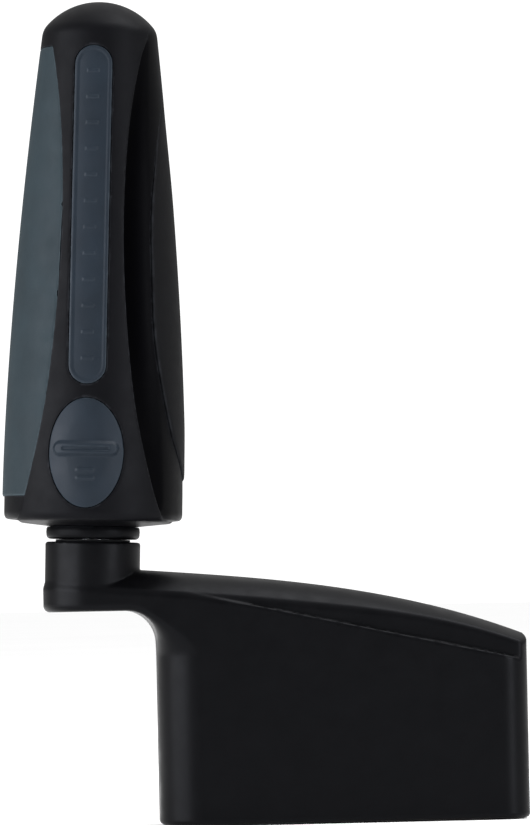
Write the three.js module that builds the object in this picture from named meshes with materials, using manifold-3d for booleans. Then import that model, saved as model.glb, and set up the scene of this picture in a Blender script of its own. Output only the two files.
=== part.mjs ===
// String winder: a crank with a hollow key socket at one end and a swivelling grip at the other.
// The socket slips over the button of a tuning machine, and the grip is wound round its centre.
// Millimetres, +Z up, X along the crank, Y across it, the origin under the middle of the object.
import * as THREE from "three";
import { mergeVertices } from "three/addons/utils/BufferGeometryUtils.js";
import Module from "manifold-3d";

const wasm = await Module();
wasm.setup();

// ---- Driving dimensions ----

const FIT_GAP = 0.1; // between pieces that are fixed to each other
const SEAT_GAP = 0.2; // round the edge of a pad or inlay in its seat
const RUNNING_GAP = 0.08; // between the spindle and its bushes
const ROUND_STEPS = 40; // sides of a full circle on the large round pieces
const SMALL_ROUND_STEPS = 16; // the same on pins, screws and washers

const SOCKET = {
  centreX: 11.56,
  length: 56.4,
  depth: 16.8,
  cornerNear: 6.4, // corner radius at the end under the boss
  cornerFar: 4.3,
  wall: 2,
  topAtBoss: 36.4, // height of the sloping shoulder at the end near the boss
  topAtEnd: 24.05, // and at the far end
  roof: 2.8, // thickness of the roof below the shoulder
};

const ARM = {
  underside: 32.7,
  reach: 7.4, // half depth round the boss
  flush: 0.02, // the arm stops this far inside the socket's faces
  gusset: 4.8, // radius of the curve from the underside into the socket
  crownStart: -18.84, // x where the crowned top leaves the boss
  crownLength: 58.6,
  crownHeight: 38.9, // of the crown's middle line at its start
  crownFall: 4.7, // the straight part of its fall to the far end
  crownCurl: 6.2, // the part that grows with the cube of the way along
  edgeDropNear: 3.3, // from the middle line down to the crown's long edges, near the boss
  edgeDropFar: 1.7,
  edgeDropPower: 2.6,
};

// Half depth of the arm at x: it widens from the boss to the socket's faces, then the crown narrows again.
const ARM_OUTLINE = [
  [-26.44, 7.4],
  [-22.2, 7.67],
  [-17.6, 8.22],
  [-13, 8.38],
  [-12.4, 8.38],
  [-4, 7.85],
  [12, 7.35],
  [39.76, 7.1],
];

const PIVOT = {
  x: -26.44,
  z: ARM.underside,
  lean: THREE.MathUtils.degToRad(1.9), // the grip's axis leans towards the socket
};

const BOSS = { radius: 7.25, height: 10.6, round: 0.5 };
const SPINDLE = { seatRadius: 3, journalRadius: 2.5, foot: 1.5, threadHole: 1.3, threadDepth: 9 };
const THRUST_WASHER = { radius: 5.7, thickness: 0.3 };
const FACE_GAP = 0.05; // between faces that rest on each other along the pivot
const FLANGE = { radius: 7.1, bottom: 11.05, round: 0.45 };

const GRIP = {
  bottom: 13.3, // above the boss's underside, along the pivot axis
  sole: -0.35, // the underside at the mouth hangs this low
  height: 80.2,
  widest: 13.93,
  widestAt: 4,
  taper: 4.63, // what the radius loses by taperAt
  taperAt: 70.8,
  taperPower: 1.62,
  domeRadius: 10.7,
  domeBlend: 0.5,
  bottomRim: 13.15, // radius where the shallow cone underneath ends
  bottomRise: 0.75, // height of that cone
  rimInset: 0.25, // the small chamfer above the cone
  rimHeight: 0.6,
  mouth: 6.5, // opening underneath, for the core sleeve
  domeFrom: 72, // height above which the outside curves in to the top
  restTurn: THREE.MathUtils.degToRad(-7.5),
};

const RIB_SHIFT = 0.38; // the ribs' long edges lie this far to the right of their inlays' middle
// Half width of the front and rear ribs at heights above the grip's bottom: an hourglass.
const RIB_OUTLINE = [
  [11.2, 0],
  [9.2, 6.8],
  [6.7, 19],
  [5.15, 34],
  [4.68, 47],
  [5.15, 60],
  [6.6, 71],
  [8.6, 79],
];
// Half width of the lens-shaped right pad, seen from its own side.
const LENS_OUTLINE = [
  [0, 6.5],
  [5.7, 13.5],
  [8.3, 25],
  [8.3, 36],
  [6.97, 49.5],
  [3.6, 61.2],
  [0, 65.5],
];

const BASE = { depth: 0.3, fadeFrom: 46, fadeTo: 64 }; // the black surface lies this far below the ribs
const FLUTE = { depth: 1.5, reach: THREE.MathUtils.degToRad(27), from: 2, to: 74 };
const LEFT_PAD = { from: 4.1, to: 72.8, thickness: 1.2, seat: 1.4 };
const LENS_PAD = { proud: 0.15, depth: 1.1, seat: 1.3 };
const STRIP = { from: 20.9, to: 72.8, width: 6, sunk: 0.1, depth: 1.05, seat: 1.25 };
const BADGE = { middle: 10.6, halfWidth: 5.8, halfHeight: 8.4, proud: 0.2, depth: 0.9, seat: 1.1 };
const THUMB_BAR = { length: 9.6, height: 2, proud: 0.65, above: 0.6 }; // above the badge's middle
const SHELL = { wall: 2.6, floor: 2.4, roofAt: 74.5, roofShare: 0.6, seam: 0.1, lugOverlap: 0.5 };

const SLEEVE = { radius: 6.4, bore: 4.7, top: 62, lug: 7.4, lugRadius: 2.6 };
const BUSH = { radius: 4.6, lowerTop: 9, upperBottom: 50, upperTop: 58 };
const END_WASHER = { radius: 4.2, bottom: 58.3, thickness: 0.8 };
const END_SCREW = { headRadius: 2.7, headHeight: 1.7, shankRadius: 1.2, shankLength: 8 };
const SHELL_SCREW = { headRadius: 1.9, headHeight: 0.9, shankRadius: 1, hole: 1.2, tip: 4.95, under: 0.35 };
const SHELL_SCREW_HEIGHTS = { upper: 55, lower: 10.6 };

// ---- Colours ----

const plastic = (color, roughness) => new THREE.MeshStandardMaterial({ color, roughness, metalness: 0 });
const steel = (color, roughness) => new THREE.MeshStandardMaterial({ color, roughness, metalness: 1 });
const BLACK = plastic(0x1b1c1f, 0.5);
const CRANK_BLACK = plastic(0x191a1c, 0.55);
const PAD_BLUE_GREY = plastic(0x41505a, 0.7);
const INLAY_BLUE_GREY = plastic(0x38434a, 0.6);
const SOFT_BLACK = plastic(0x1f2022, 0.65);
const WHITE_ACETAL = plastic(0xd8d6cd, 0.4);
const STEEL = steel(0xa9abad, 0.3);
const ZINC = steel(0xb7b9bb, 0.35);

// ---- Solids ----

// A closed geometry as a manifold-3d solid.
function solidOf(geometry) {
  const bare = geometry.clone();
  bare.deleteAttribute("normal");
  bare.deleteAttribute("uv");
  const merged = mergeVertices(bare, 1e-4);
  const vertProperties = new Float32Array(merged.attributes.position.array);
  const triVerts = new Uint32Array(merged.index.array);
  return new wasm.Manifold(new wasm.Mesh({ numProp: 3, vertProperties, triVerts }));
}

// A solid as a geometry with flat facets.
function geometryOf(solid) {
  const mesh = solid.getMesh();
  const geometry = new THREE.BufferGeometry();
  geometry.setAttribute("position", new THREE.BufferAttribute(mesh.vertProperties, 3));
  geometry.setIndex(new THREE.BufferAttribute(mesh.triVerts, 1));
  const faceted = geometry.toNonIndexed();
  faceted.computeVertexNormals();
  return faceted;
}

function named(name, solid, material) {
  const mesh = new THREE.Mesh(geometryOf(solid), material);
  mesh.name = name;
  return mesh;
}

// A solid of revolution about Z from [radius, height] pairs that run upwards.
function turned(pairs, steps = ROUND_STEPS) {
  const profile = pairs.map(([radius, height]) => new THREE.Vector2(radius, height));
  return new THREE.LatheGeometry(profile, steps).rotateX(Math.PI / 2);
}

const rod = (radius, from, to, steps = SMALL_ROUND_STEPS) =>
  turned([[0, from], [radius, from], [radius, to], [0, to]], steps);

function tube(bore, radius, from, to, steps = ROUND_STEPS) {
  return solidOf(rod(radius, from, to, steps)).subtract(solidOf(rod(bore, from - 1, to + 1, steps)));
}

// A rod along -Y (side -1) or +Y (side 1) at a height, from one distance off the axis to another.
function sideRod(radius, height, from, to, side) {
  const geometry = rod(radius, from, to).rotateX(side < 0 ? Math.PI / 2 : -Math.PI / 2);
  return solidOf(geometry.translate(0, 0, height));
}

// An outline in X and Z, extruded along Y.
function acrossY(shape, from, to) {
  const options = { depth: to - from, bevelEnabled: false, curveSegments: 10 };
  return solidOf(new THREE.ExtrudeGeometry(shape, options).rotateX(Math.PI / 2).translate(0, to, 0));
}

// An outline in Y and Z, extruded along X.
function acrossX(shape, from, to) {
  const options = { depth: to - from, bevelEnabled: false, curveSegments: 10 };
  const turn = new THREE.Matrix4().makeBasis(
    new THREE.Vector3(0, 1, 0),
    new THREE.Vector3(0, 0, 1),
    new THREE.Vector3(1, 0, 0),
  );
  return solidOf(new THREE.ExtrudeGeometry(shape, options).applyMatrix4(turn).translate(from, 0, 0));
}

// An outline in X and Y, extruded along Z.
function alongZ(shape, from, to) {
  const options = { depth: to - from, bevelEnabled: false, curveSegments: 8 };
  return solidOf(new THREE.ExtrudeGeometry(shape, options).translate(0, 0, from));
}

// A rectangle from left to right whose corners have one radius on the left and another on the right.
function roundedRectangle(left, right, depth, leftCorner, rightCorner) {
  const half = depth / 2;
  const shape = new THREE.Shape();
  shape.moveTo(left + leftCorner, -half);
  shape.lineTo(right - rightCorner, -half);
  shape.absarc(right - rightCorner, rightCorner - half, rightCorner, -Math.PI / 2, 0);
  shape.lineTo(right, half - rightCorner);
  shape.absarc(right - rightCorner, half - rightCorner, rightCorner, 0, Math.PI / 2);
  shape.lineTo(left + leftCorner, half);
  shape.absarc(left + leftCorner, half - leftCorner, leftCorner, Math.PI / 2, Math.PI);
  shape.lineTo(left, leftCorner - half);
  shape.absarc(left + leftCorner, leftCorner - half, leftCorner, Math.PI, 1.5 * Math.PI);
  return shape;
}

// The second of each pair, at a value between the first ones, which rise.
function valueAt(pairs, at) {
  const next = pairs.findIndex(([first]) => first > at);
  if (next < 0) return pairs.at(-1)[1];
  if (next === 0) return pairs[0][1];
  const [[start, low], [end, high]] = [pairs[next - 1], pairs[next]];
  return low + ((high - low) * (at - start)) / (end - start);
}

function polygon(pairs) {
  return new THREE.Shape(pairs.map(([x, y]) => new THREE.Vector2(x, y)));
}

// ---- Crank ----

const SOCKET_LEFT = SOCKET.centreX - SOCKET.length / 2;
const SOCKET_RIGHT = SOCKET.centreX + SOCKET.length / 2;

// The space under a plane that falls from the boss's end of the socket to the far end.
function underSlope(drop) {
  const slope = (SOCKET.topAtEnd - SOCKET.topAtBoss) / SOCKET.length;
  const beyond = 5;
  const outline = polygon([
    [SOCKET_LEFT - beyond, -beyond],
    [SOCKET_RIGHT + beyond, -beyond],
    [SOCKET_RIGHT + beyond, SOCKET.topAtEnd + slope * beyond - drop],
    [SOCKET_LEFT - beyond, SOCKET.topAtBoss - slope * beyond - drop],
  ]);
  return acrossY(outline, -SOCKET.depth, SOCKET.depth);
}

function socketBlock() {
  const { depth, cornerNear, cornerFar, topAtBoss } = SOCKET;
  const plan = roundedRectangle(SOCKET_LEFT, SOCKET_RIGHT, depth, cornerNear, cornerFar);
  return alongZ(plan, 0, topAtBoss + 1).intersect(underSlope(0));
}

function socketHollow() {
  const { depth, wall, cornerNear, cornerFar, topAtBoss, roof } = SOCKET;
  const inside = roundedRectangle(
    SOCKET_LEFT + wall,
    SOCKET_RIGHT - wall,
    depth - 2 * wall,
    cornerNear - wall,
    cornerFar - wall,
  );
  return alongZ(inside, -1, topAtBoss).intersect(underSlope(roof));
}

const ARM_LEFT = PIVOT.x - 2 * ARM.reach;
const ARM_STEPS = 36;
const armHalfDepth = (x) => valueAt(ARM_OUTLINE, x);

// Height of the crowned top, which falls off towards the arm's sides and round the boss.
function crownHeight(x, y) {
  const way = (x - ARM.crownStart) / ARM.crownLength;
  const middle = ARM.crownHeight - ARM.crownFall * way - ARM.crownCurl * way ** 3;
  const share = Math.hypot(y, Math.min(x - PIVOT.x, 0)) / armHalfDepth(x);
  const far = THREE.MathUtils.smoothstep(x, 0, SOCKET_RIGHT);
  const edgeDrop = THREE.MathUtils.lerp(ARM.edgeDropNear, ARM.edgeDropFar, far);
  return middle - edgeDrop * Math.min(share, 1) ** ARM.edgeDropPower;
}

// A block with the crowned top, slightly wider than the arm all along.
function crownBlock() {
  const bottom = 10;
  const halfLines = 6;
  const widest = (halfLines + 1) / halfLines;
  const lines = 2 * (halfLines + 1);
  const block = new THREE.BoxGeometry(SOCKET_RIGHT - ARM_LEFT, 2 * widest, 1, ARM_STEPS, lines, 1);
  block.translate((SOCKET_RIGHT + ARM_LEFT) / 2, 0, 0);
  const position = block.attributes.position;
  const wider = 1.01;
  for (let i = 0; i < position.count; i++) {
    const x = position.getX(i);
    const y = position.getY(i) * armHalfDepth(x);
    const isTop = position.getZ(i) > 0;
    position.setY(i, wider * y);
    position.setZ(i, isTop ? crownHeight(x, y) : bottom);
  }
  return solidOf(block);
}

// The arm from above: round at the boss, and with the socket's own corners at the far end.
function armPlan() {
  const stepLength = (SOCKET_RIGHT - ARM_LEFT) / ARM_STEPS;
  const stations = Array.from({ length: ARM_STEPS + 1 }, (_, i) => ARM_LEFT + i * stepLength);
  const side = stations.filter((x) => x > PIVOT.x);
  const shape = new THREE.Shape();
  shape.absarc(PIVOT.x, 0, ARM.reach, Math.PI / 2, 1.5 * Math.PI);
  for (const x of side) shape.lineTo(x, -armHalfDepth(x));
  for (const x of side.toReversed()) shape.lineTo(x, armHalfDepth(x));
  const end = roundedRectangle(ARM_LEFT, SOCKET_RIGHT - ARM.flush, SOCKET.depth, 1, SOCKET.cornerFar);
  return alongZ(shape, 5, 45).intersect(alongZ(end, 4, 46));
}

// The arm from the side, below its crown: a flat underside that curves down into the socket.
function armSide() {
  const deep = 20;
  const tall = 45;
  const shape = new THREE.Shape();
  const curveX = SOCKET_LEFT - ARM.gusset;
  const curveZ = ARM.underside - ARM.gusset;
  shape.moveTo(ARM_LEFT, ARM.underside);
  shape.lineTo(curveX, ARM.underside);
  shape.absarc(curveX, curveZ, ARM.gusset, Math.PI / 2, 0, true);
  shape.lineTo(SOCKET_LEFT + SOCKET.cornerNear, curveZ);
  shape.lineTo(SOCKET_LEFT + SOCKET.cornerNear, deep);
  shape.lineTo(SOCKET_RIGHT, deep);
  shape.lineTo(SOCKET_RIGHT, tall);
  shape.lineTo(ARM_LEFT, tall);
  return shape;
}

function crankBody(leaning) {
  const { radius, height, round } = BOSS;
  const boss = turned([
    [0, 0],
    [radius - round, 0],
    [radius - 0.3 * round, 0.3 * round],
    [radius, round],
    [radius, height - round],
    [radius - 0.3 * round, height - 0.3 * round],
    [radius - round, height],
    [0, height],
  ]);
  const bore = rod(SPINDLE.seatRadius + FIT_GAP, SPINDLE.foot - FIT_GAP, height + 1, ROUND_STEPS);
  const arm = armPlan()
    .intersect(crownBlock())
    .intersect(acrossY(armSide(), -2 * ARM.reach, 2 * ARM.reach));
  return socketBlock()
    .add(arm)
    .subtract(socketHollow())
    .add(solidOf(boss.applyMatrix4(leaning)))
    .subtract(solidOf(bore.applyMatrix4(leaning)));
}

// ---- Pieces on the pivot axis; heights are above the boss's underside ----

function spindle() {
  const { seatRadius, journalRadius, foot, threadHole, threadDepth } = SPINDLE;
  const top = GRIP.bottom + BUSH.upperTop + FIT_GAP;
  const pin = turned([
    [0, foot],
    [seatRadius, foot],
    [seatRadius, BOSS.height],
    [journalRadius, BOSS.height],
    [journalRadius, top],
    [0, top],
  ]);
  return solidOf(pin).subtract(solidOf(rod(threadHole, top - threadDepth, top + 1)));
}

function thrustWasher() {
  const { radius, thickness } = THRUST_WASHER;
  const bottom = BOSS.height + FACE_GAP;
  return tube(SPINDLE.journalRadius + RUNNING_GAP, radius, bottom, bottom + thickness);
}

function endWasher() {
  const bottom = GRIP.bottom + END_WASHER.bottom;
  return tube(END_SCREW.shankRadius + FIT_GAP, END_WASHER.radius, bottom, bottom + END_WASHER.thickness);
}

function endScrew() {
  const { headRadius, headHeight, shankRadius, shankLength } = END_SCREW;
  const seat = GRIP.bottom + END_WASHER.bottom + END_WASHER.thickness + FACE_GAP;
  const screw = turned(
    [
      [0, seat - shankLength],
      [shankRadius, seat - shankLength],
      [shankRadius, seat],
      [headRadius, seat],
      [headRadius, seat + 0.5 * headHeight],
      [0.7 * headRadius, seat + headHeight],
      [0, seat + headHeight],
    ],
    SMALL_ROUND_STEPS,
  );
  return solidOf(screw).subtract(crossSlot(0.45 * headRadius, 0.8).translate([0, 0, seat + headHeight]));
}

// A cross recess for a screwdriver, centred on the origin.
function crossSlot(reach, depth) {
  const width = 0.5;
  const bar = solidOf(new THREE.BoxGeometry(2 * reach, width, 2 * depth));
  return bar.add(solidOf(new THREE.BoxGeometry(width, 2 * reach, 2 * depth)));
}

// ---- Grip; heights are above the grip's own bottom ----

// The smaller of two values, with a soft corner where they meet.
function softMin(a, b, blend) {
  const near = Math.max(blend - Math.abs(a - b), 0) / blend;
  return Math.min(a, b) - (near * near * blend) / 4;
}

// Radius of the grip's envelope, which the ribs and the left pad reach.
function envelopeRadius(height) {
  const way = Math.max(height - GRIP.widestAt, 0) / (GRIP.taperAt - GRIP.widestAt);
  const taper = GRIP.widest - GRIP.taper * way ** GRIP.taperPower;
  const aboveDomeCentre = height - (GRIP.height - GRIP.domeRadius);
  if (aboveDomeCentre <= 0) return taper;
  const dome = Math.sqrt(Math.max(GRIP.domeRadius ** 2 - aboveDomeCentre ** 2, 0));
  return dome > 0 ? Math.max(softMin(taper, dome, GRIP.domeBlend), 0.3 * dome) : 0;
}

const WALL_HEIGHTS = [4, 12, 20, 28, 36, 44, 52, 60, 67, 71.5];
const DOME_HEIGHTS = [73.2, 75, 76.3, 77.7, 78.9, 79.7, 80.1];

// [radius, height] pairs of the whole outside, moved inwards by a depth (or outwards, if negative).
function gripProfile(depth) {
  const sides = [...WALL_HEIGHTS, ...DOME_HEIGHTS].map((height) => [
    Math.max(envelopeRadius(height) - depth, 0.1),
    height > GRIP.domeFrom ? height - depth : height,
  ]);
  const rimHeight = GRIP.sole + GRIP.bottomRise;
  return [
    [0, GRIP.sole],
    [GRIP.mouth, GRIP.sole],
    [GRIP.bottomRim - depth, rimHeight],
    [GRIP.widest - GRIP.rimInset - depth, rimHeight + GRIP.rimHeight],
    ...sides,
    [0, GRIP.height - depth],
  ];
}

const offsetGrip = (depth) => solidOf(turned(gripProfile(depth)));

// A curve through [half width, height] pairs as points that run upwards.
function outlinePoints(pairs, steps) {
  return new THREE.SplineCurve(pairs.map(([x, z]) => new THREE.Vector2(x, z))).getPoints(steps);
}

const halfWidths = (pairs) => outlinePoints(pairs, 60).map((point) => [point.y, point.x]);
const RIB_HALF_WIDTHS = halfWidths(RIB_OUTLINE);
const LENS_HALF_WIDTHS = halfWidths(LENS_OUTLINE);

// Depth of the groove between rib and right pad, at an angle from the front: deepest beside the rib.
function fluteDepth(azimuth, height) {
  const along = (height - FLUTE.from) / (FLUTE.to - FLUTE.from);
  if (along <= 0 || along >= 1) return 0;
  const radius = envelopeRadius(height);
  const ribEdge = Math.asin((valueAt(RIB_HALF_WIDTHS, height) + RIB_SHIFT) / radius);
  const padEdge = Math.acos(valueAt(LENS_HALF_WIDTHS, height) / radius);
  const swell = Math.sin(Math.PI * along);
  const width = Math.min(FLUTE.reach * Math.sqrt(swell), padEdge - ribEdge);
  const rise = THREE.MathUtils.smoothstep(azimuth, ribEdge, ribEdge + width);
  return FLUTE.depth * swell ** 0.6 * (1 - rise);
}

// The black surface between the ribs, with a flute on each side of the right pad.
function flutedBase() {
  const base = turned(gripProfile(0));
  const position = base.attributes.position;
  for (let i = 0; i < position.count; i++) {
    const [x, y, height] = [position.getX(i), position.getY(i), position.getZ(i)];
    const radius = Math.hypot(x, y);
    if (radius <= GRIP.mouth) continue;
    const flute = x > 0 ? fluteDepth(Math.atan2(x, Math.abs(y)), height) : 0;
    const step = BASE.depth * (1 - THREE.MathUtils.smoothstep(height, BASE.fadeFrom, BASE.fadeTo));
    const scale = 1 - (step + flute) / radius;
    position.setXY(i, x * scale, y * scale);
  }
  return solidOf(base);
}

const BEYOND = 20; // farther off the grip's axis than any of its surfaces

// The slab between the two long edges of the ribs.
function ribSlab() {
  const edge = [...outlinePoints(RIB_OUTLINE, 16), new THREE.Vector2(RIB_OUTLINE.at(-1)[0], GRIP.height + 1)];
  const right = edge.map((point) => new THREE.Vector2(point.x + RIB_SHIFT, point.y));
  const left = edge.map((point) => new THREE.Vector2(RIB_SHIFT - point.x, point.y)).reverse();
  return acrossY(new THREE.Shape([...right, ...left]), -BEYOND, BEYOND);
}

// The space that the left pad takes, with its edges moved inwards by an inset.
function leftPadSpace(inset) {
  const { from, to } = LEFT_PAD;
  const edge = outlinePoints(RIB_OUTLINE, 24).filter((p) => p.y > from + inset && p.y < to - inset);
  const beside = edge.map((point) => new THREE.Vector2(RIB_SHIFT - point.x - inset, point.y)).reverse();
  const first = new THREE.Vector2(beside[0].x, to - inset);
  const last = new THREE.Vector2(beside.at(-1).x - 1, from + inset);
  const outside = [new THREE.Vector2(-BEYOND, from + inset), new THREE.Vector2(-BEYOND, to - inset)];
  return acrossY(new THREE.Shape([first, ...beside, last, ...outside]), -BEYOND, BEYOND);
}

// The space that the right pad takes.
function lensSpace(inset) {
  const half = outlinePoints(LENS_OUTLINE, 18).map(
    (point) => new THREE.Vector2(Math.max(point.x - inset, 0), point.y),
  );
  const inner = half.filter((point) => point.x > 0);
  const other = inner.map((point) => new THREE.Vector2(-point.x, point.y)).reverse();
  const bottom = new THREE.Vector2(0, inner[0].y - 0.6);
  const top = new THREE.Vector2(0, inner.at(-1).y + 0.6);
  return acrossX(new THREE.Shape([bottom, ...inner, top, ...other]), 1, BEYOND);
}

// Between two depths below the envelope.
const skin = (outer, inner) => offsetGrip(outer).subtract(offsetGrip(inner));

// An outline in X and Z, extruded from near the middle out to the front (side -1) or the rear (side 1).
const toOneSide = (shape, side) => (side < 0 ? acrossY(shape, -BEYOND, -1) : acrossY(shape, 1, BEYOND));

// The stadium of a strip, from its middle out to one side of the grip.
function stripSpace(grow, side) {
  const radius = STRIP.width / 2 + grow;
  const shape = new THREE.Shape();
  shape.absarc(0, STRIP.from + STRIP.width / 2, radius, Math.PI, 2 * Math.PI);
  shape.absarc(0, STRIP.to - STRIP.width / 2, radius, 0, Math.PI);
  return toOneSide(shape, side);
}

function badgeSpace(grow, side) {
  const shape = new THREE.Shape();
  const { middle, halfWidth, halfHeight } = BADGE;
  shape.absellipse(0, middle, halfWidth + grow, halfHeight + grow, 0, 2 * Math.PI);
  return toOneSide(shape, side);
}

function strip(side) {
  return skin(STRIP.sunk, STRIP.depth).intersect(stripSpace(0, side));
}

// An oval with a plain raised bar across its middle.
function badge(side) {
  const { length, height, proud, above } = THUMB_BAR;
  const half = (length - height) / 2;
  const shape = new THREE.Shape();
  shape.absarc(half, BADGE.middle + above, height / 2, -Math.PI / 2, Math.PI / 2);
  shape.absarc(-half, BADGE.middle + above, height / 2, Math.PI / 2, 1.5 * Math.PI);
  const raised = skin(-proud, BADGE.depth).intersect(toOneSide(shape, side));
  return skin(-BADGE.proud, BADGE.depth).intersect(badgeSpace(0, side)).add(raised);
}

function shellScrewSeat(height) {
  const pocket = height < BADGE.middle + BADGE.halfHeight ? BADGE.seat : STRIP.seat;
  return envelopeRadius(height) - pocket - SHELL_SCREW.headHeight - SHELL_SCREW.under;
}

function shellScrew(height, side) {
  const { headRadius, headHeight, shankRadius, tip } = SHELL_SCREW;
  const seat = shellScrewSeat(height);
  const screw = solidOf(
    turned(
      [
        [0, tip],
        [shankRadius, tip + 0.8],
        [shankRadius, seat],
        [headRadius, seat],
        [headRadius, seat + 0.5 * headHeight],
        [0.75 * headRadius, seat + headHeight],
        [0, seat + headHeight],
      ],
      SMALL_ROUND_STEPS,
    ),
  ).subtract(crossSlot(0.5 * headRadius, 0.45).translate([0, 0, seat + headHeight]));
  const turn = new THREE.Matrix4().makeRotationX(side < 0 ? Math.PI / 2 : -Math.PI / 2);
  turn.setPosition(0, 0, height);
  return solidOf(geometryOf(screw).applyMatrix4(turn));
}

// Both shells as one body, before the cut between front and rear.
function wholeShell() {
  const cavityProfile = WALL_HEIGHTS.filter((height) => height < SHELL.roofAt).map((height) => [
    envelopeRadius(height) - SHELL.wall,
    height,
  ]);
  const cavity = turned([
    [0, SHELL.floor],
    [envelopeRadius(SHELL.floor) - SHELL.wall, SHELL.floor],
    ...cavityProfile,
    [SHELL.roofShare * cavityProfile.at(-1)[0], SHELL.roofAt],
    [0, SHELL.roofAt],
  ]);
  const mouth = rod(GRIP.mouth, GRIP.sole - 1, SHELL.floor + 1, ROUND_STEPS);
  let shell = flutedBase()
    .add(offsetGrip(0).intersect(ribSlab()))
    .subtract(solidOf(cavity))
    .subtract(solidOf(mouth))
    .subtract(skin(-2, LEFT_PAD.seat).intersect(leftPadSpace(0)))
    .subtract(skin(-2, LENS_PAD.seat).intersect(lensSpace(0)));
  for (const side of [-1, 1]) {
    shell = shell
      .subtract(skin(-2, STRIP.seat).intersect(stripSpace(SEAT_GAP, side)))
      .subtract(skin(-2, BADGE.seat).intersect(badgeSpace(SEAT_GAP, side)));
    for (const height of Object.values(SHELL_SCREW_HEIGHTS)) {
      const seat = shellScrewSeat(height);
      const wallInside = envelopeRadius(height) - SHELL.wall;
      shell = shell
        .add(sideRod(SLEEVE.lugRadius, height, SLEEVE.lug + FIT_GAP, wallInside + SHELL.lugOverlap, side))
        .subtract(sideRod(SHELL_SCREW.hole, height, 2, seat + 1, side))
        .subtract(sideRod(SHELL_SCREW.headRadius + FIT_GAP, height, seat - FACE_GAP, BEYOND, side));
    }
  }
  return shell;
}

// One side of a body, cut at the seam between the shells.
function half(solid, side) {
  const reach = 30;
  const block = new THREE.BoxGeometry(2 * reach, reach, 4 * reach);
  return solid.intersect(solidOf(block.translate(0, side * (reach / 2 + SHELL.seam), reach)));
}

// The tube that carries the bushes, with a lug for each shell screw.
function coreSleeve() {
  let sleeve = solidOf(rod(SLEEVE.radius, GRIP.sole + FIT_GAP, SLEEVE.top, ROUND_STEPS));
  for (const side of [-1, 1]) {
    for (const height of Object.values(SHELL_SCREW_HEIGHTS)) {
      sleeve = sleeve.add(sideRod(SLEEVE.lugRadius, height, 0, SLEEVE.lug, side));
    }
  }
  sleeve = sleeve.subtract(solidOf(rod(SLEEVE.bore, -1, SLEEVE.top + 1, ROUND_STEPS)));
  for (const side of [-1, 1]) {
    for (const height of Object.values(SHELL_SCREW_HEIGHTS)) {
      sleeve = sleeve.subtract(sideRod(SHELL_SCREW.shankRadius + FIT_GAP, height, 2, 10, side));
    }
  }
  return sleeve;
}

// The bush with the flange that shows as a ring under the grip.
function lowerBush() {
  const { radius, bottom, round } = FLANGE;
  const from = bottom - GRIP.bottom;
  const body = turned([
    [0, from],
    [radius - round, from],
    [radius - 0.3 * round, from + 0.3 * round],
    [radius, from + round],
    [radius, GRIP.sole - FACE_GAP],
    [BUSH.radius, GRIP.sole - FACE_GAP],
    [BUSH.radius, BUSH.lowerTop],
    [0, BUSH.lowerTop],
  ]);
  const bore = rod(SPINDLE.journalRadius + RUNNING_GAP, from - 1, BUSH.lowerTop + 1, ROUND_STEPS);
  return solidOf(body).subtract(solidOf(bore));
}

const upperBush = () =>
  tube(SPINDLE.journalRadius + RUNNING_GAP, BUSH.radius, BUSH.upperBottom, BUSH.upperTop);

// ---- Assembly ----

function gripAssembly() {
  const grip = new THREE.Group();
  const shell = wholeShell();
  grip.add(
    named("front_shell", half(shell, -1), BLACK),
    named("rear_shell", half(shell, 1), BLACK),
    named("core_sleeve", coreSleeve(), SOFT_BLACK),
    named("lower_bush", lowerBush(), BLACK),
    named("upper_bush", upperBush(), WHITE_ACETAL),
    named("left_pad", skin(0, LEFT_PAD.thickness).intersect(leftPadSpace(SEAT_GAP)), PAD_BLUE_GREY),
    named("right_pad", skin(-LENS_PAD.proud, LENS_PAD.depth).intersect(lensSpace(SEAT_GAP)), SOFT_BLACK),
  );
  for (const [face, side] of [["front", -1], ["rear", 1]]) {
    grip.add(
      named(`${face}_strip`, strip(side), INLAY_BLUE_GREY),
      named(`${face}_badge`, badge(side), INLAY_BLUE_GREY),
    );
    for (const [place, height] of Object.entries(SHELL_SCREW_HEIGHTS)) {
      grip.add(named(`${face}_${place}_screw`, shellScrew(height, side), ZINC));
    }
  }
  grip.position.z = GRIP.bottom;
  grip.rotation.z = GRIP.restTurn;
  return grip;
}

const pivot = new THREE.Group();
pivot.position.set(PIVOT.x, 0, PIVOT.z);
pivot.rotation.y = PIVOT.lean;
pivot.updateMatrix();
pivot.add(
  named("spindle", spindle(), STEEL),
  named("thrust_washer", thrustWasher(), BLACK),
  named("retaining_washer", endWasher(), ZINC),
  named("retaining_screw", endScrew(), ZINC),
  gripAssembly(),
);

const winder = new THREE.Group();
winder.add(named("crank_body", crankBody(pivot.matrix), CRANK_BLACK), pivot);

export default winder;
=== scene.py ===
"""A string winder in Blender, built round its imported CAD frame.

The crank body is one moulding, contoured from a distance field so that its fillets are real geometry.
The grip's shells, pads and inlays are patches of one surface of revolution, cut along their outlines.
Lengths are in millimetres until mesh_object() turns them into metres.
"""

import math

import bpy
import numpy as np
from mathutils import Matrix, Vector


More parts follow.
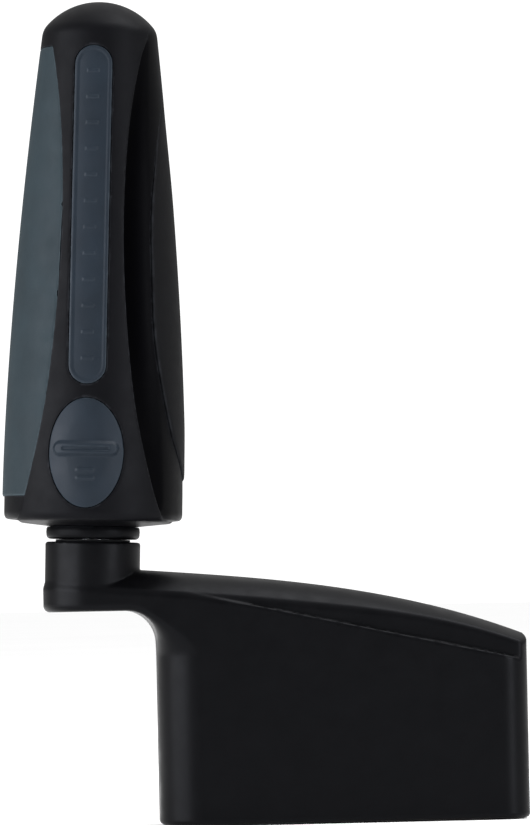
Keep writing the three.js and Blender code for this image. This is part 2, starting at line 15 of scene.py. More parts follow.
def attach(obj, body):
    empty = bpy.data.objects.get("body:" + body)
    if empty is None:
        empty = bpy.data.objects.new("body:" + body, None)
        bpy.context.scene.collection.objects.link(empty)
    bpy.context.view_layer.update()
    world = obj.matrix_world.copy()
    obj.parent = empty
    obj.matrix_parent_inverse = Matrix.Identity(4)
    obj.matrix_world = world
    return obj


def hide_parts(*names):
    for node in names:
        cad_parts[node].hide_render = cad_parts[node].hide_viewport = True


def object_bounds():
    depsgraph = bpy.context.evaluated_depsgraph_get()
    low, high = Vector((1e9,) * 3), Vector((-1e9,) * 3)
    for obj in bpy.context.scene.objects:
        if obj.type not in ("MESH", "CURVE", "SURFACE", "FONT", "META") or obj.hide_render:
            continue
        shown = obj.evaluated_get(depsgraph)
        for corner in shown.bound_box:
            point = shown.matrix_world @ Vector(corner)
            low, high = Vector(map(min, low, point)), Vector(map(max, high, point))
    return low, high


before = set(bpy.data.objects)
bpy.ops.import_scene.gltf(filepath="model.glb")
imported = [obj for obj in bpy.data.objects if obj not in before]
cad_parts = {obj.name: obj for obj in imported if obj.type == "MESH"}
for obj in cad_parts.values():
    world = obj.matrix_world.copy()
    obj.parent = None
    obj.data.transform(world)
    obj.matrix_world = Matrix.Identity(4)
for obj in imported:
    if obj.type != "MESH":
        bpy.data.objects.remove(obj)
cad_low, cad_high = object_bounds()

MM = 0.001

# ---- Dimensions, as in the CAD ----

SOCKET_CENTRE_X = 11.56
SOCKET_HALF_LENGTH = 28.2
SOCKET_HALF_DEPTH = 8.4
SOCKET_CORNER_NEAR = 6.4
SOCKET_CORNER_FAR = 4.3
SOCKET_WALL = 2.0
SOCKET_ROOF = 2.8
SHOULDER_AT_BOSS = 36.4
SHOULDER_AT_END = 24.05
SOCKET_LEFT = SOCKET_CENTRE_X - SOCKET_HALF_LENGTH
SOCKET_RIGHT = SOCKET_CENTRE_X + SOCKET_HALF_LENGTH

ARM_UNDERSIDE = 32.7
ARM_REACH = 7.4
ARM_GUSSET = 4.8
CROWN_START = -18.84
CROWN_LENGTH = 58.6
CROWN_HEIGHT = 38.9
CROWN_FALL = 4.7
CROWN_CURL = 6.2
CROWN_EDGE_DROP_NEAR = 3.3
CROWN_EDGE_DROP_FAR = 1.7
CROWN_EDGE_POWER = 2.6

PIVOT_X = -26.44
PIVOT_Z = ARM_UNDERSIDE
PIVOT_LEAN = math.radians(1.9)
BOSS_RADIUS = 7.25
BOSS_HEIGHT = 10.6
BOSS_BORE = 3.1
BOSS_BORE_FOOT = 1.4

GRIP_BOTTOM = 13.3
GRIP_SOLE = -0.35
GRIP_HEIGHT = 80.2
GRIP_WIDEST = 13.93
GRIP_WIDEST_AT = 4.0
GRIP_TAPER = 4.63
GRIP_TAPER_AT = 70.8
GRIP_TAPER_POWER = 1.62
GRIP_MOUTH = 6.5
GRIP_REST_TURN = math.radians(-7.5)
DOME_RADIUS = 10.7
DOME_BLEND = 0.5

RIB_SHIFT = 0.38
RIB_OUTLINE = [(11.2, 0), (9.2, 6.8), (6.7, 19), (5.15, 34), (4.68, 47), (5.15, 60), (6.6, 71), (8.6, 79)]
LENS_OUTLINE = [(0, 6.5), (5.7, 13.5), (8.3, 25), (8.3, 36), (6.97, 49.5), (3.6, 61.2), (0, 65.5)]
BASE_DEPTH = 0.3
BASE_UP_TO = 72.0
FLUTE_DEPTH = 1.5
FLUTE_REACH = math.radians(27)
FLUTE_FROM = 2.0
FLUTE_TO = 74.0
LEFT_PAD_FROM = 4.1
LEFT_PAD_TO = 72.8
STRIP_FROM = 20.9
STRIP_TO = 72.8
STRIP_HALF_WIDTH = 3.0
BADGE_MIDDLE = 10.6
BADGE_HALF_WIDTH = 5.8
BADGE_HALF_HEIGHT = 8.4


# ---- Materials ----


def linear(red, green, blue):
    """An sRGB colour of 0 to 255 as the linear RGBA that a shader takes."""
    def channel(value):
        share = value / 255
        return share / 12.92 if share <= 0.04045 else ((share + 0.055) / 1.055) ** 2.4
    return (channel(red), channel(green), channel(blue), 1.0)


class Shader:
    """Builds a node material from the top down, with short calls."""

    def __init__(self, name):
        self.material = bpy.data.materials.new(name)
        self.material.use_nodes = True
        self.tree = self.material.node_tree
        self.surface = self.tree.nodes["Principled BSDF"]
        coordinates = self.tree.nodes.new("ShaderNodeTexCoord")
        self.place = coordinates.outputs["Object"]

    def node(self, kind, **values):
        made = self.tree.nodes.new(kind)
        for key, value in values.items():
            setattr(made, key, value)
        return made

    def join(self, output, target):
        self.tree.links.new(output, target)

    def noise(self, size_mm, detail=3.0):
        """Noise whose features are about this large."""
        made = self.node("ShaderNodeTexNoise")
        made.inputs["Scale"].default_value = 1 / (size_mm * MM)
        made.inputs["Detail"].default_value = detail
        self.join(self.place, made.inputs["Vector"])
        return made.outputs["Fac"]

    def range(self, value, low, high, to_low, to_high):
        made = self.node("ShaderNodeMapRange")
        for key, number in (("From Min", low), ("From Max", high), ("To Min", to_low), ("To Max", to_high)):
            made.inputs[key].default_value = number
        self.join(value, made.inputs["Value"])
        return made.outputs["Result"]

    def mix(self, share, first, second):
        """Colours or outputs mixed by an output."""
        made = self.node("ShaderNodeMix", data_type="RGBA")
        self.join(share, made.inputs["Factor"])
        for socket, value in ((made.inputs[6], first), (made.inputs[7], second)):
            if isinstance(value, tuple):
                socket.default_value = value
            else:
                self.join(value, socket)
        return made.outputs[2]

    def bump(self, height, depth_mm, strength, below=None):
        made = self.node("ShaderNodeBump")
        made.inputs["Strength"].default_value = strength
        made.inputs["Distance"].default_value = depth_mm * MM
        self.join(height, made.inputs["Height"])
        if below is not None:
            self.join(below, made.inputs["Normal"])
        return made.outputs["Normal"]


MOTTLE_MM = 6.0
MOTTLE_DARK = 0.82
# Size of the patches along the lighter edges, which are rubbed wear and painted highlight.
RUBBED_AND_HIGHLIT_PATCH_MM = 1.6
GLOSS_PATCH_MM = 2.5
GLOSS_SPREAD = 0.05
WAVE_MM = 9.0
WAVE_DEPTH = 0.05
MOST_WORN_AND_HIGHLIT = 0.6  # how far the sharpest edges go towards the lighter edge colour, partly rubbed wear and partly painted highlight
CARRIED_EDGE = (0.54, 0.64)  # pointiness of a CAD mesh from flat to a sharp edge
COOL_GLOSS = (0.88, 0.91, 1.0, 1.0)
# Dimmer gloss where the groove beside the right pad is painted as shade.
FLUTE_SHADE_GLOSS = (0.1, 0.1, 0.1, 1.0)


def edge_share(shader, carried):
    """How far each place goes towards the lighter edge colour, rubbed wear and painted edge highlight,
    before it is made patchy.
    """
    if carried:
        geometry = shader.node("ShaderNodeNewGeometry")
        return shader.range(geometry.outputs["Pointiness"], *CARRIED_EDGE, 0, MOST_WORN_AND_HIGHLIT)
    worn_and_highlit_edge = shader.node("ShaderNodeAttribute", attribute_name="wear_and_highlight")
    return shader.range(worn_and_highlit_edge.outputs["Fac"], 0, 1, 0, MOST_WORN_AND_HIGHLIT)


def moulded(
    name,
    colour,
    worn_and_highlit,
    roughness,
    grain_mm=0.22,
    grain_depth=0.012,
    specular=0.4,
    metallic=0.0,
    painted_flute_shade=None,
    carried=False,
):
    """Mottled colour, a fine texture, and edges painted lighter, partly as rubbed wear and partly as a
    painted edge highlight.

    The lighter edges come from a per-vertex edge attribute on the mesh, or from its pointiness on a carried
    CAD node, which has no such attribute. A near-black colour and a dimmer gloss, painted shade, are taken
    where the mesh's groove shade attribute is 1.
    """
    shader = Shader(name)
    darker = tuple(MOTTLE_DARK * c for c in colour[:3]) + (1.0,)
    mottled = shader.mix(shader.range(shader.noise(MOTTLE_MM), 0.35, 0.65, 0, 1), darker, colour)
    patchy = shader.node("ShaderNodeMath", operation="MULTIPLY")
    shader.join(edge_share(shader, carried), patchy.inputs[0])
    shader.join(shader.range(shader.noise(RUBBED_AND_HIGHLIT_PATCH_MM), 0.4, 0.6, 0.3, 1), patchy.inputs[1])
    shader.surface.inputs["Specular IOR Level"].default_value = specular
    shader.surface.inputs["Metallic"].default_value = metallic
    shader.surface.inputs["Specular Tint"].default_value = COOL_GLOSS
    # Painted shade: the groove beside the right pad takes a near-black colour and a dimmer gloss.
    if painted_flute_shade:
        depth = shader.node("ShaderNodeAttribute", attribute_name="painted_flute_shade")
        mottled = shader.mix(depth.outputs["Fac"], mottled, painted_flute_shade)
        tint = shader.mix(depth.outputs["Fac"], COOL_GLOSS, FLUTE_SHADE_GLOSS)
        shader.join(tint, shader.surface.inputs["Specular Tint"])
    # Lighter edges: rubbed wear and a painted edge highlight.
    shader.join(shader.mix(patchy.outputs[0], mottled, worn_and_highlit), shader.surface.inputs["Base Color"])
    smoothest, roughest = roughness - GLOSS_SPREAD, roughness + GLOSS_SPREAD
    rough = shader.range(shader.noise(GLOSS_PATCH_MM), 0.3, 0.7, smoothest, roughest)
    shader.join(rough, shader.surface.inputs["Roughness"])
    soft = shader.bump(shader.noise(WAVE_MM, 2.0), WAVE_DEPTH, 0.12)
    grain = shader.bump(shader.noise(grain_mm, 4.0), grain_depth, 0.6, soft)
    shader.join(grain, shader.surface.inputs["Normal"])
    return shader.material


MATERIALS = {
    "crank_black": moulded("crank black", linear(4, 4, 5), linear(32, 33, 36), 0.39, specular=0.075),
    # The grip's near-black second colour is painted shade for the groove beside the right pad.
    "grip_black": moulded(
        "grip black", linear(6, 6, 8), linear(34, 36, 40), 0.48, specular=0.067, painted_flute_shade=linear(1, 1, 2)
    ),
    "pad_blue_grey": moulded(
        "pad blue grey",
        linear(25, 36, 41),
        linear(54, 66, 72),
        0.62,
        grain_mm=0.35,
        grain_depth=0.03,
        specular=0.18,
    ),
    "inlay_blue_grey": moulded(
        "inlay blue grey",
        linear(19, 27, 35),
        linear(50, 60, 67),
        0.5,
        grain_mm=0.25,
        grain_depth=0.015,
        specular=0.17,
    ),
    "pad_black": moulded(
        "pad black", linear(7, 7, 8), linear(36, 38, 42), 0.6, grain_mm=0.35, grain_depth=0.03, specular=0.07
    ),
    "core_black": moulded("core black", linear(24, 24, 26), linear(50, 50, 52), 0.55, carried=True),
    "bush_black": moulded("bush black", linear(4, 4, 5), linear(34, 36, 40), 0.42, specular=0.06),
    "bush_white": moulded("bush white", linear(214, 212, 204), linear(235, 233, 228), 0.4, carried=True),
    "spindle_steel": moulded(
        "spindle steel", linear(160, 162, 165), linear(205, 206, 208), 0.3, metallic=1.0, carried=True
    ),
    "washer_black": moulded(
        "washer black", linear(5, 5, 6), linear(30, 31, 33), 0.55, specular=0.06, carried=True
    ),
    "fastener_zinc": moulded(
        "fastener zinc", linear(170, 172, 170), linear(212, 213, 212), 0.38, metallic=1.0, carried=True
    ),
}


# ---- Mesh helpers ----


def mesh_object(name, points, faces, slot, body, node, sharp_above=50):
    """One visible piece from points in millimetres. It stands for a CAD node and rides on its body."""
    mesh = bpy.data.meshes.new(name)
    mesh.from_pydata((np.asarray(points) * MM).tolist(), [], [list(map(int, face)) for face in faces])
    mesh.update()
    mesh.shade_smooth()
    mesh.set_sharp_from_angle(angle=math.radians(sharp_above))
    mesh.materials.append(MATERIALS[slot])
    add_wear_and_highlight(mesh)
    piece = bpy.data.objects.new(name, mesh)
    bpy.context.scene.collection.objects.link(piece)
    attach(piece, body)
    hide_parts(node)
    return piece


WEAR_AND_HIGHLIGHT_FROM = 0.1  # how far neighbours fall away from a vertex's tangent plane where the lighter edge starts
WEAR_AND_HIGHLIGHT_SPAN = 0.25  # and how much further they fall where it is full


def add_wear_and_highlight(mesh):
    """Marks how sharply the surface turns outwards at each vertex, for the material's lighter edges: rubbed
    wear and a painted edge highlight.
    """
    count = len(mesh.vertices)
    place, normal = np.zeros(count * 3), np.zeros(count * 3)
    ends = np.zeros(len(mesh.edges) * 2, int)
    mesh.vertices.foreach_get("co", place)
    mesh.vertex_normals.foreach_get("vector", normal)
    mesh.edges.foreach_get("vertices", ends)
    place, normal, ends = place.reshape(-1, 3), normal.reshape(-1, 3), ends.reshape(-1, 2)
    turn, links = np.zeros(count), np.zeros(count)
    for near, far in ((ends[:, 0], ends[:, 1]), (ends[:, 1], ends[:, 0])):
        along = place[far] - place[near]
        along /= np.maximum(np.linalg.norm(along, axis=1, keepdims=True), 1e-9)
        np.add.at(turn, near, -np.sum(along * normal[near], axis=1))
        np.add.at(links, near, 1)
    # Sharp outward edges get the lighter colour: rubbed wear and a painted edge highlight.
    wear_and_highlight = np.clip((turn / np.maximum(links, 1) - WEAR_AND_HIGHLIGHT_FROM) / WEAR_AND_HIGHLIGHT_SPAN, 0, 1)
    mesh.attributes.new("wear_and_highlight", "FLOAT", "POINT").data.foreach_set("value", wear_and_highlight.astype(np.float32))


def on_pivot(points, lift=0.0, turn=0.0):
    """Points on the pivot's own axis, put in the part's frame."""
    x, y, z = np.asarray(points, float).T
    turned_x = x * math.cos(turn) - y * math.sin(turn)
    turned_y = x * math.sin(turn) + y * math.cos(turn)
    up = z + lift
    leaned_x = turned_x * math.cos(PIVOT_LEAN) + up * math.sin(PIVOT_LEAN)
    leaned_z = up * math.cos(PIVOT_LEAN) - turned_x * math.sin(PIVOT_LEAN)
    return np.stack([leaned_x + PIVOT_X, turned_y, leaned_z + PIVOT_Z], axis=1)


def curve_through(pairs, steps=14):
    """A smooth curve through the pairs, as points."""
    points = np.array([pairs[0], *pairs, pairs[-1]], float)
    made = []
    for before, start, end, after in zip(points, points[1:], points[2:], points[3:]):
        for share in np.linspace(0, 1, steps, endpoint=False):
            square, cube = share**2, share**3
            made.append(
                0.5
                * (
                    2 * start
                    + (end - before) * share
                    + (2 * before - 5 * start + 4 * end - after) * square
                    + (3 * start - before - 3 * end + after) * cube
                )
            )
    return np.array([*made, points[-1]])


def smooth_step(low, high, value):
    share = np.clip((value - low) / (high - low), 0, 1)
    return share * share * (3 - 2 * share)


# ---- Crank body: a distance field, negative inside ----


def round_and(first, second, radius):
    """The overlap of two solids, with a rounded edge where their faces cross."""
    outside = np.hypot(np.maximum(first + radius, 0), np.maximum(second + radius, 0))
    return np.minimum(np.maximum(first, second), -radius) + outside


def round_or(first, second, radius):
    """Two solids joined, with a fillet where their faces cross."""
    return -round_and(-first, -second, radius)


def rounded_plan(x, y, left, right, half_depth, left_corner, right_corner):
    """A rounded rectangle seen from above, with one corner radius at each end."""
    corner = np.where(x < (left + right) / 2, left_corner, right_corner)
    across = np.abs(x - (left + right) / 2) - (right - left) / 2 + corner
    along = np.abs(y) - half_depth + corner
    outside = np.hypot(np.maximum(across, 0), np.maximum(along, 0))
    return outside + np.minimum(np.maximum(across, along), 0) - corner


ARM_FLARED_BY = -13.0
ARM_CORNER = 1.0
CORNER_FADE = (25.5, 32.5)
CROWN_HALF_DEPTHS = [(-20, 9.4), (-12.4, 8.4), (-4, 7.85), (12, 7.35), (38, 7.1)]
SHELF_FILLET = 0.25
SHELF_ROUND = 0.35
CROWN_ROUND = 0.5
FOOT_ROUND = 0.7
ROOF_ROUND = 0.8
MOUTH_ROUND = 0.35
BOSS_ROUND = 0.45
BOSS_FILLET = 0.2
BOSS_FOOT = 0.3
FAR_LEFT = -90
SHOULDER_SLOPE = (SHOULDER_AT_END - SHOULDER_AT_BOSS) / (2 * SOCKET_HALF_LENGTH)


def above_shoulder(x, z, drop=0.0):
    """Distance above the plane that slopes down along the socket."""
    height = SHOULDER_AT_BOSS + SHOULDER_SLOPE * (x - SOCKET_LEFT) - drop
    return (z - height) / math.hypot(1, SHOULDER_SLOPE)


def arm_half_depth(x):
    """The arm is as wide as the boss at one end and flush with the socket's faces at the other."""
    return ARM_REACH + (SOCKET_HALF_DEPTH - ARM_REACH) * smooth_step(PIVOT_X, ARM_FLARED_BY, x)


def crown_half_depth(x):
    """The crowned top leaves the socket's faces behind it and narrows towards the far end."""
    return np.interp(x, *zip(*CROWN_HALF_DEPTHS))


def arm_plan(x, y):
    side = np.abs(y) - arm_half_depth(x)
    end = np.hypot(x - PIVOT_X, y) - ARM_REACH
    far_end = rounded_plan(x, y, FAR_LEFT, SOCKET_RIGHT, SOCKET_HALF_DEPTH + 0.001, 1, SOCKET_CORNER_FAR)
    return np.maximum(np.where(x < PIVOT_X, end, side), far_end)


def above_crown(x, y, z):
    way = (x - CROWN_START) / CROWN_LENGTH
    middle = CROWN_HEIGHT - CROWN_FALL * way - CROWN_CURL * way**3
    half = np.minimum(arm_half_depth(x), crown_half_depth(x))
    off_middle = np.hypot(y, np.minimum(x - PIVOT_X, 0))
    across = np.clip(off_middle / half, 0, 1.05)
    far = smooth_step(0, SOCKET_RIGHT, x)
    drop = CROWN_EDGE_DROP_NEAR + (CROWN_EDGE_DROP_FAR - CROWN_EDGE_DROP_NEAR) * far
    height = middle - drop * across**CROWN_EDGE_POWER
    steepness = drop * CROWN_EDGE_POWER * across ** (CROWN_EDGE_POWER - 1) / half
    return (z - height) / np.hypot(1, steepness)


def socket_hollow(x, y, z):
    inside = rounded_plan(
        x,
        y,
        SOCKET_LEFT + SOCKET_WALL,
        SOCKET_RIGHT - SOCKET_WALL,
        SOCKET_HALF_DEPTH - SOCKET_WALL,
        SOCKET_CORNER_NEAR - SOCKET_WALL,
        SOCKET_CORNER_FAR - SOCKET_WALL,
    )
    return round_and(inside, above_shoulder(x, z, SOCKET_ROOF), ROOF_ROUND)


def crank_field(x, y, z):
    gusset = round_or(ARM_UNDERSIDE - z, SOCKET_LEFT - x, ARM_GUSSET)
    corner = SOCKET_CORNER_NEAR + (ARM_CORNER - SOCKET_CORNER_NEAR) * smooth_step(*CORNER_FADE, z)
    body = round_and(arm_plan(x, y), gusset, corner)
    shelf = round_or(above_shoulder(x, z), np.abs(y) - crown_half_depth(x), SHELF_FILLET)
    body = round_and(body, shelf, SHELF_ROUND)
    body = round_and(body, above_crown(x, y, z), CROWN_ROUND)
    body = round_and(body, -z, FOOT_ROUND)
    body = round_and(body, -socket_hollow(x, y, z), MOUTH_ROUND)
    off_x = (x - PIVOT_X) * math.cos(PIVOT_LEAN) - (z - PIVOT_Z) * math.sin(PIVOT_LEAN)
    up = (x - PIVOT_X) * math.sin(PIVOT_LEAN) + (z - PIVOT_Z) * math.cos(PIVOT_LEAN)
    radius = np.hypot(off_x, y)
    boss = round_and(radius - BOSS_RADIUS, np.maximum(up - BOSS_HEIGHT, BOSS_FOOT - up), BOSS_ROUND)
    bore = np.maximum(radius - BOSS_BORE, BOSS_BORE_FOOT - up)
    return np.maximum(round_or(body, boss, BOSS_FILLET), -bore)


def gradient(field, points, step=0.01):
    """Unit vectors out of a field's surface."""
    made = np.zeros_like(points)
    for axis in range(3):
        offset = np.zeros(3)
        offset[axis] = step
        made[:, axis] = field(*(points + offset).T) - field(*(points - offset).T)
    return made / np.maximum(np.linalg.norm(made, axis=1, keepdims=True), 1e-9)


def crossings(field, start, end, low):
    """Where a field changes sign between pairs of points, by bisection."""
    near, far = start.copy(), end.copy()
    near_is_in = low < 0
    for _ in range(9):
        middle = (near + far) / 2
        same = (field(*middle.T) < 0) == near_is_in
        near[same] = middle[same]
        far[~same] = middle[~same]
    return (near + far) / 2


def corners_at(lines, index):
    """The places of grid corners given by their indices."""
    return np.stack([lines[k][index[:, k]] for k in range(3)], axis=1)


CENTRE_PULL = 0.03  # how strongly a vertex is held to the middle of its cell's crossings


def contour(field, xs, ys, zs):
    """A field's surface as quads, with a vertex in each crossed cell that sits on its edges and corners."""
    lines = [np.asarray(line, float) for line in (xs, ys, zs)]
    shape = [len(line) for line in lines]
    cells = [n - 1 for n in shape]
    values = field(*np.meshgrid(*lines, indexing="ij"))
    inside = values < 0
    squares, weights = np.zeros((np.prod(cells), 3, 3)), np.zeros((np.prod(cells), 3))
    sums, counts = np.zeros((np.prod(cells), 3)), np.zeros(np.prod(cells))
    quads = []
    for axis in range(3):
        first = [slice(None)] * 3
        second = [slice(None)] * 3
        first[axis], second[axis] = slice(0, -1), slice(1, None)
        crossed = np.argwhere(inside[tuple(first)] != inside[tuple(second)])
        ahead = crossed.copy()
        ahead[:, axis] += 1
        low = values[tuple(crossed.T)]
        points = crossings(field, corners_at(lines, crossed), corners_at(lines, ahead), low)
        normals = gradient(field, points)
        one, other = (axis + 1) % 3, (axis + 2) % 3
        corners = []
        for back_one, back_other in ((0, 0), (1, 0), (1, 1), (0, 1)):
            cell = crossed.copy()
            cell[:, one] -= back_one
            cell[:, other] -= back_other
            corners.append(np.ravel_multi_index(tuple(cell.T), cells))
        for cell in corners:
            np.add.at(squares, cell, normals[:, :, None] * normals[:, None, :])
            np.add.at(weights, cell, normals * np.sum(normals * points, axis=1, keepdims=True))
            np.add.at(sums, cell, points)
            np.add.at(counts, cell, 1)
        loop = np.stack(corners, axis=1)
        quads.append(np.where((low < 0)[:, None], loop, loop[:, ::-1]))
    used = np.flatnonzero(counts)
    middle = sums[used] / counts[used, None]
    matrix = squares[used] + CENTRE_PULL * np.eye(3)
    vertices = np.linalg.solve(matrix, (weights[used] + CENTRE_PULL * middle)[:, :, None])[:, :, 0]
    index = np.stack(np.unravel_index(used, cells), axis=1)
    for k in range(3):
        vertices[:, k] = np.clip(vertices[:, k], lines[k][index[:, k]], lines[k][index[:, k] + 1])
    order = np.full(np.prod(cells), -1)
    order[used] = np.arange(len(used))
    return vertices, order[np.concatenate(quads)]


def spaced(*spans):
    """Grid lines from (end, spacing) spans after the first value."""
    start, *rest = spans
    lines = [start]
    for end, spacing in rest:
        count = max(round((end - lines[-1]) / spacing), 1)
        lines.extend(np.linspace(lines[-1], end, count + 1)[1:])
    return np.array(lines)


GRID_NUDGE_Y = 0.013  # keeps the grid's lines off the flat faces
GRID_NUDGE_Z = 0.011


def make_crank_body():
    half = spaced(0, (2.6, 0.65), (6.0, 0.4), (8.8, 0.22))
    xs = spaced(-34.4, (-10, 0.33), (33, 0.6), (40.2, 0.33))
    ys = np.concatenate([-half[:0:-1], half]) + GRID_NUDGE_Y
    zs = spaced(-0.25, (1.1, 0.17), (20, 0.8), (44, 0.33)) + GRID_NUDGE_Z
    points, faces = contour(crank_field, xs, ys, zs)
    return mesh_object("crank_moulding", points, faces, "crank_black", "crank", "crank_body", 38)


# ---- Grip: one surface of revolution, patched along outlines ----


def envelope_radius(height):
    way = np.maximum(height - GRIP_WIDEST_AT, 0) / (GRIP_TAPER_AT - GRIP_WIDEST_AT)
    taper = GRIP_WIDEST - GRIP_TAPER * way**GRIP_TAPER_POWER
    above = np.maximum(height - (GRIP_HEIGHT - DOME_RADIUS), 0)
    dome = np.sqrt(np.maximum(DOME_RADIUS**2 - above**2, 0))
    near = np.maximum(DOME_BLEND - np.abs(taper - dome), 0) / DOME_BLEND
    soft = np.minimum(taper, dome) - near * near * DOME_BLEND / 4
    return np.where(above > 0, np.maximum(soft, 0.3 * dome), taper)


SOLE_END = (13.0, 0.37)  # (radius, height) where the sole meets the rounded rim
RIM_CORNER = (13.9, 0.47)
WALL_START = (GRIP_WIDEST, 1.7)
WALL_HEIGHTS = (1.8, 72.0)
DOME_START = 2.6  # above the dome's centre
EVEN_STEPS = 2400
SMOOTHED_STEPS = 25


def meridian():
    """The grip's outline from the mouth to the top of the dome, by arc length.

    Gives the length, radius, height and the two parts of the normal.
    """
    share = np.linspace(0, 1, 24)[:, None]
    rim = (1 - share) ** 2 * SOLE_END + 2 * share * (1 - share) * RIM_CORNER + share**2 * WALL_START
    angle = np.linspace(math.asin(DOME_START / DOME_RADIUS), math.pi / 2, 240)
    dome_heights = GRIP_HEIGHT - DOME_RADIUS * (1 - np.sin(angle))
    heights = np.concatenate([np.linspace(*WALL_HEIGHTS, 700), dome_heights])
    wall = np.stack([envelope_radius(heights), heights], axis=1)
    points = np.concatenate([[(GRIP_MOUTH, GRIP_SOLE)], rim, wall])
    points[-1, 0] = 0
    length = np.concatenate([[0], np.cumsum(np.hypot(*np.diff(points, axis=0).T))])
    even = np.linspace(0, length[-1], EVEN_STEPS)
    radius, height = np.interp(even, length, points[:, 0]), np.interp(even, length, points[:, 1])
    tangent = np.stack([np.gradient(radius, even), np.gradient(height, even)], axis=1)
    kernel = np.ones(SMOOTHED_STEPS) / SMOOTHED_STEPS
    margin = SMOOTHED_STEPS // 2
    padded = np.pad(tangent, ((margin, margin), (0, 0)), mode="edge")
    tangent = np.stack([np.convolve(padded[:, k], kernel, "valid") for k in range(2)], axis=1)
    tangent /= np.linalg.norm(tangent, axis=1, keepdims=True)
    return even, radius, height, tangent[:, 1], -tangent[:, 0]


LENGTH, RADIUS, HEIGHT, NORMAL_OUT, NORMAL_UP = meridian()
RIB_CURVE = curve_through(RIB_OUTLINE)
LENS_CURVE = curve_through(LENS_OUTLINE)


def radius_at(way):
    return np.interp(way, LENGTH, RADIUS)


def height_at(way):
    return np.interp(way, LENGTH, HEIGHT)


def way_at(height):
    """Arc length of the meridian where the wall is at a height."""
    wall = HEIGHT > 1.0
    return float(np.interp(height, HEIGHT[wall], LENGTH[wall]))


# Outlines: signed distances in millimetres over (azimuth from the front, arc length), negative inside.

ELSEWHERE = 30.0  # the distance given on the other side of the grip
LENS_TIP_CLOSING = 1.2


def off_rib(azimuth, way):
    half = np.interp(height_at(way), RIB_CURVE[:, 1], RIB_CURVE[:, 0])
    across = np.abs(radius_at(way) * np.sin(azimuth) - RIB_SHIFT) - half
    return across / np.maximum(np.abs(np.cos(azimuth)), 0.4)


def off_lens(azimuth, way):
    height = height_at(way)
    bottom, top = LENS_OUTLINE[0][1], LENS_OUTLINE[-1][1]
    half = np.interp(height, LENS_CURVE[:, 1], LENS_CURVE[:, 0])
    half = half - LENS_TIP_CLOSING * (np.maximum(bottom - height, 0) + np.maximum(height - top, 0))
    across = np.abs(radius_at(way) * np.cos(azimuth)) - half
    return np.where(np.sin(azimuth) > 0, across, ELSEWHERE)


def off_left_pad(azimuth, way):
    height = height_at(way)
    inside = np.maximum.reduce([-off_rib(azimuth, way), LEFT_PAD_FROM - height, height - LEFT_PAD_TO])
    return np.where(np.sin(azimuth) < 0, inside, ELSEWHERE)


def off_strip(azimuth, way):
    straight = (STRIP_TO - STRIP_FROM) / 2 - STRIP_HALF_WIDTH
    beyond = np.maximum(np.abs(height_at(way) - (STRIP_FROM + STRIP_TO) / 2) - straight, 0)
    across = radius_at(way) * np.sin(azimuth)
    return np.hypot(across, beyond) - STRIP_HALF_WIDTH


def off_badge(azimuth, way):
    across = radius_at(way) * np.sin(azimuth)
    along = height_at(way) - BADGE_MIDDLE
    size = np.maximum(np.hypot(across / BADGE_HALF_WIDTH, along / BADGE_HALF_HEIGHT), 1e-6)
    slope = np.hypot(across / BADGE_HALF_WIDTH**2, along / BADGE_HALF_HEIGHT**2) / size
    return (size - 1) / np.maximum(slope, 0.05)


def surface(azimuth, way, lift):
    """Points of the grip's surface, lifted along its normal, in the grip's own frame."""
    out = radius_at(way) + lift * np.interp(way, LENGTH, NORMAL_OUT)
    up = height_at(way) + lift * np.interp(way, LENGTH, NORMAL_UP)
    out = np.maximum(out, 0)
    return np.stack([out * np.sin(azimuth), -out * np.cos(azimuth), up], axis=-1)


SNAP_REACH = 0.8  # of a cell
SNAP_ROUNDS = 3
TYPICAL_RADIUS = 11
SLOPE_STEP = 1e-4


def snapped_grid(azimuths, ways, outlines):
    """A grid whose vertices near an outline are moved onto it."""
    azimuth, way = np.meshgrid(azimuths, ways)
    cell = min(ways[1] - ways[0], (azimuths[1] - azimuths[0]) * TYPICAL_RADIUS)
    inner = np.zeros(azimuth.shape, bool)
    inner[1:-1, 1:-1] = True
    step = SLOPE_STEP
    for outline in outlines:
        for _ in range(SNAP_ROUNDS):
            off = outline(azimuth, way)
            radius = np.maximum(radius_at(way), 0.5)
            by_azimuth = (outline(azimuth + step, way) - outline(azimuth - step, way)) / (2 * step * radius)
            by_way = (outline(azimuth, way + step) - outline(azimuth, way - step)) / (2 * step)
            steep = np.maximum(by_azimuth**2 + by_way**2, 1e-6)
            near = inner & (np.abs(off) < SNAP_REACH * cell * np.sqrt(steep))
            azimuth = np.where(near, azimuth - off * by_azimuth / steep / radius, azimuth)
            way = np.where(near, way - off * by_way / steep, way)
    return azimuth, way


def grid_triangles(lift):
    """Triangles of a grid, each quad cut along the diagonal that runs with its outlines."""
    rows, columns = lift.shape
    index = np.arange(rows * columns).reshape(rows, columns)
    a, b, c, d = index[:-1, :-1], index[:-1, 1:], index[1:, 1:], index[1:, :-1]
    flat = lift.reshape(-1)
    along = (np.abs(flat[a] - flat[c]) <= np.abs(flat[b] - flat[d])).reshape(-1)
    a, b, c, d = (corner.reshape(-1) for corner in (a, b, c, d))
    first = np.where(along[:, None], np.stack([a, b, c], 1), np.stack([a, b, d], 1))
    second = np.where(along[:, None], np.stack([a, c, d], 1), np.stack([b, c, d], 1))
    return np.concatenate([first, second])


